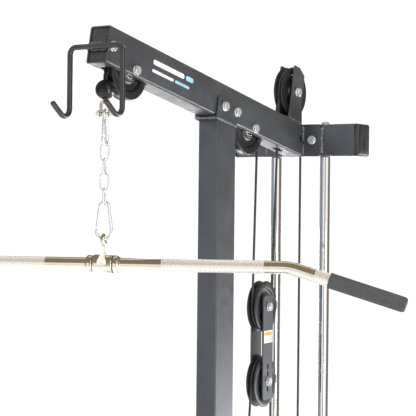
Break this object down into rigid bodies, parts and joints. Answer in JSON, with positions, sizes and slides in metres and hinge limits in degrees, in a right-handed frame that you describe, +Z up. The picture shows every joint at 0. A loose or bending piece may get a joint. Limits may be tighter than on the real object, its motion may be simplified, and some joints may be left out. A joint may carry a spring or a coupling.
{
  "type": "lat pulldown and low row cable tower",
  "caption": "Cable tower with a drooped lat bar on a chain, a sloping pulley boom, a post, twin guide rods and a plate-loaded weight carriage.",
  "frame": {"origin": "on the floor, below the middle of the machine's base", "axes": "+X to the right of a person facing the lat bar from the post's side away from the weights, +Y from the lat bar towards the weight carriage, +Z up"},
  "size_m": [1.0948, 1.25, 2.151],
  "materials": {
    "frame": "satin",
    "satin_black": "satin",
    "chrome": "polished",
    "nickel": "polished",
    "zinc": "satin",
    "strap": "satin",
    "nylon": "satin",
    "plastic": "gloss",
    "rubber": "matte",
    "cable": "satin"
  },
  "bodies": {
    "frame": {"base_rail": "frame", "front_foot": "frame", "rear_foot": "frame", "foot_plate": "frame", "post": "frame", "boom": "frame", "crossbeam": "frame", "crossbeam_cap_left": "plastic", "crossbeam_cap_right": "plastic", "top_pulley_bracket": "frame", "rod_base_plate": "frame", "guide_rod_left": "chrome", "guide_rod_right": "chrome", "rod_bolt_left": "zinc", "rod_bolt_right": "zinc", "bumper_left": "rubber", "bumper_right": "rubber", "bar_hook": "satin_black", "front_pulley_bolt": "zinc", "mid_pulley_bolt": "zinc", "top_pulley_bolt": "zinc", "low_pulley_bolt": "zinc", "saddle_bolt_front": "zinc", "saddle_bolt_rear": "zinc", "hook_bolt": "zinc", "flange_bolt_left": "zinc", "flange_bolt_right": "zinc", "lat_cable": "cable", "row_cable": "cable"},
    "front_sheave": {"front_pulley": "nylon"},
    "mid_sheave": {"mid_pulley": "nylon"},
    "top_sheave": {"top_pulley": "nylon"},
    "low_sheave": {"low_pulley": "nylon"},
    "floater": {"floater_plate_left": "frame", "floater_plate_right": "frame", "floater_upper_bolt": "zinc", "floater_lower_bolt": "zinc"},
    "floater_upper_sheave": {"floater_upper_pulley": "nylon"},
    "floater_lower_sheave": {"floater_lower_pulley": "nylon"},
    "carriage": {"carriage": "frame"},
    "lat_end": {"lat_stop_ball": "plastic"},
    "lat_strap": {"lat_shackle": "strap", "lat_shackle_bolt": "zinc"},
    "upper_clip": {"upper_carabiner": "zinc"},
    "upper_clip_gate": {"upper_carabiner_gate": "zinc"},
    "link_1": {"chain_link_1": "zinc"},
    "link_2": {"chain_link_2": "zinc"},
    "link_3": {"chain_link_3": "zinc"},
    "link_4": {"chain_link_4": "zinc"},
    "lower_clip": {"lower_carabiner": "zinc"},
    "lower_clip_gate": {"lower_carabiner_gate": "zinc"},
    "eye": {"bar_sleeve": "nickel"},
    "bar": {"lat_bar": "nickel", "grip_left": "rubber", "grip_right": "rubber"},
    "row_end": {"row_stop_ball": "plastic", "row_shackle": "strap", "row_shackle_bolt": "zinc"},
    "row_clip": {"row_carabiner": "zinc"},
    "row_clip_gate": {"row_carabiner_gate": "zinc"}
  },
  "joints": [
    {"name": "carriage_lift", "type": "slide", "parent": "frame", "child": "carriage", "axis": [0, 0, 1], "range_m": [0, 1], "deforming": ["lat_cable"]},
    {"name": "lat_pull", "type": "slide", "parent": "frame", "child": "lat_end", "axis": [0, 0, -1], "range_m": [0, 1], "deforming": ["lat_cable"]},
    {"name": "floater_drop", "type": "slide", "parent": "frame", "child": "floater", "axis": [0, 0, -1], "range_m": [0, 0.5], "stiffness_N_per_m": 60, "springref_m": -2, "deforming": ["lat_cable", "row_cable"]},
    {"name": "row_pull", "type": "slide", "parent": "frame", "child": "row_end", "axis": [0, -1, 0], "range_m": [0, 1], "deforming": ["row_cable"]},
    {"name": "front_pulley_spin", "type": "hinge", "parent": "frame", "child": "front_sheave", "pos_m": [0, -0.32831, 2.07018], "axis": [1, 0, 0], "continuous": true},
    {"name": "mid_pulley_spin", "type": "hinge", "parent": "frame", "child": "mid_sheave", "pos_m": [0, 0.12051, 1.97897], "axis": [1, 0, 0], "continuous": true},
    {"name": "top_pulley_spin", "type": "hinge", "parent": "frame", "child": "top_sheave", "pos_m": [0, 0.317, 2.075], "axis": [1, 0, 0], "continuous": true},
    {"name": "low_pulley_spin", "type": "hinge", "parent": "frame", "child": "low_sheave", "pos_m": [0, -0.008, 0.3], "axis": [1, 0, 0], "continuous": true},
    {"name": "floater_upper_spin", "type": "hinge", "parent": "floater", "child": "floater_upper_sheave", "pos_m": [0, 0.2, 1.578], "axis": [0.9945, 0.1045, 0], "continuous": true},
    {"name": "floater_lower_spin", "type": "hinge", "parent": "floater", "child": "floater_lower_sheave", "pos_m": [0, 0.2, 1.408], "axis": [0.9945, 0.1045, 0], "continuous": true},
    {"name": "lat_swivel", "type": "hinge", "parent": "lat_end", "child": "lat_strap", "pos_m": [0, -0.3935, 2.00854], "axis": [0, 0, 1], "range_deg": [-99, 55]},
    {"name": "upper_carabiner_swing", "type": "hinge", "parent": "lat_strap", "child": "upper_clip", "pos_m": [0, -0.3935, 1.98154], "axis": [0.9272, 0.3746, 0], "range_deg": [-20, 20]},
    {"name": "upper_gate_press", "type": "hinge", "parent": "upper_clip", "child": "upper_clip_gate", "pos_m": [0.00532, -0.40666, 1.94177], "axis": [-0.9272, -0.3746, 0], "range_deg": [0, 20], "stiffness_Nm_per_rad": 0.05, "springref_deg": -28.65},
    {"name": "link_1_swing", "type": "hinge", "parent": "upper_clip", "child": "link_1", "pos_m": [0, -0.3935, 1.91774], "axis": [-0.3746, 0.9272, 0], "range_deg": [-15, 15]},
    {"name": "link_2_swing", "type": "hinge", "parent": "link_1", "child": "link_2", "pos_m": [0, -0.3935, 1.89034], "axis": [0.9272, 0.3746, 0], "range_deg": [-15, 15]},
    {"name": "link_3_swing", "type": "hinge", "parent": "link_2", "child": "link_3", "pos_m": [0, -0.3935, 1.86164], "axis": [-0.3746, 0.9272, 0], "range_deg": [-15, 15]},
    {"name": "link_4_swing", "type": "hinge", "parent": "link_3", "child": "link_4", "pos_m": [0, -0.3935, 1.83294], "axis": [0.9272, 0.3746, 0], "range_deg": [-15, 15]},
    {"name": "lower_carabiner_swing", "type": "hinge", "parent": "link_4", "child": "lower_clip", "pos_m": [0, -0.3935, 1.80424], "axis": [-0.3746, 0.9272, 0], "range_deg": [-15, 15]},
    {"name": "lower_gate_press", "type": "hinge", "parent": "lower_clip", "child": "lower_clip_gate", "pos_m": [-0.01316, -0.39881, 1.76247], "axis": [-0.3746, 0.9272, 0], "range_deg": [0, 20], "stiffness_Nm_per_rad": 0.05, "springref_deg": -28.65},
    {"name": "eye_swing", "type": "hinge", "parent": "lower_clip", "child": "eye", "pos_m": [0, -0.3935, 1.73844], "axis": [0.9272, 0.3746, 0], "range_deg": [-15, 15]},
    {"name": "bar_roll", "type": "hinge", "parent": "eye", "child": "bar", "pos_m": [0, -0.3935, 1.69004], "axis": [0.9272, 0.3746, 0], "continuous": true},
    {"name": "row_carabiner_swing", "type": "hinge", "parent": "row_end", "child": "row_clip", "pos_m": [0, -0.11319, 0.249], "axis": [1, 0, 0], "range_deg": [-90, 20]},
    {"name": "row_gate_press", "type": "hinge", "parent": "row_clip", "child": "row_clip_gate", "pos_m": [0, -0.12738, 0.20923], "axis": [-1, 0, 0], "range_deg": [0, 20], "stiffness_Nm_per_rad": 0.05, "springref_deg": -28.65}
  ],
  "couplings": [
    {"joint": "lat_pull", "follows": "carriage_lift", "ratio": 1},
    {"joint": "front_pulley_spin", "follows": "carriage_lift", "rad_per_m": 19.608},
    {"joint": "mid_pulley_spin", "follows": "carriage_lift", "rad_per_m": 19.608},
    {"joint": "top_pulley_spin", "follows": "carriage_lift", "rad_per_m": 19.608},
    {"joint": "floater_upper_spin", "follows": "carriage_lift", "rad_per_m": -19.608},
    {"joint": "row_pull", "follows": "floater_drop", "ratio": 2},
    {"joint": "floater_lower_spin", "follows": "floater_drop", "rad_per_m": 19.608},
    {"joint": "low_pulley_spin", "follows": "floater_drop", "rad_per_m": -39.216}
  ]
}
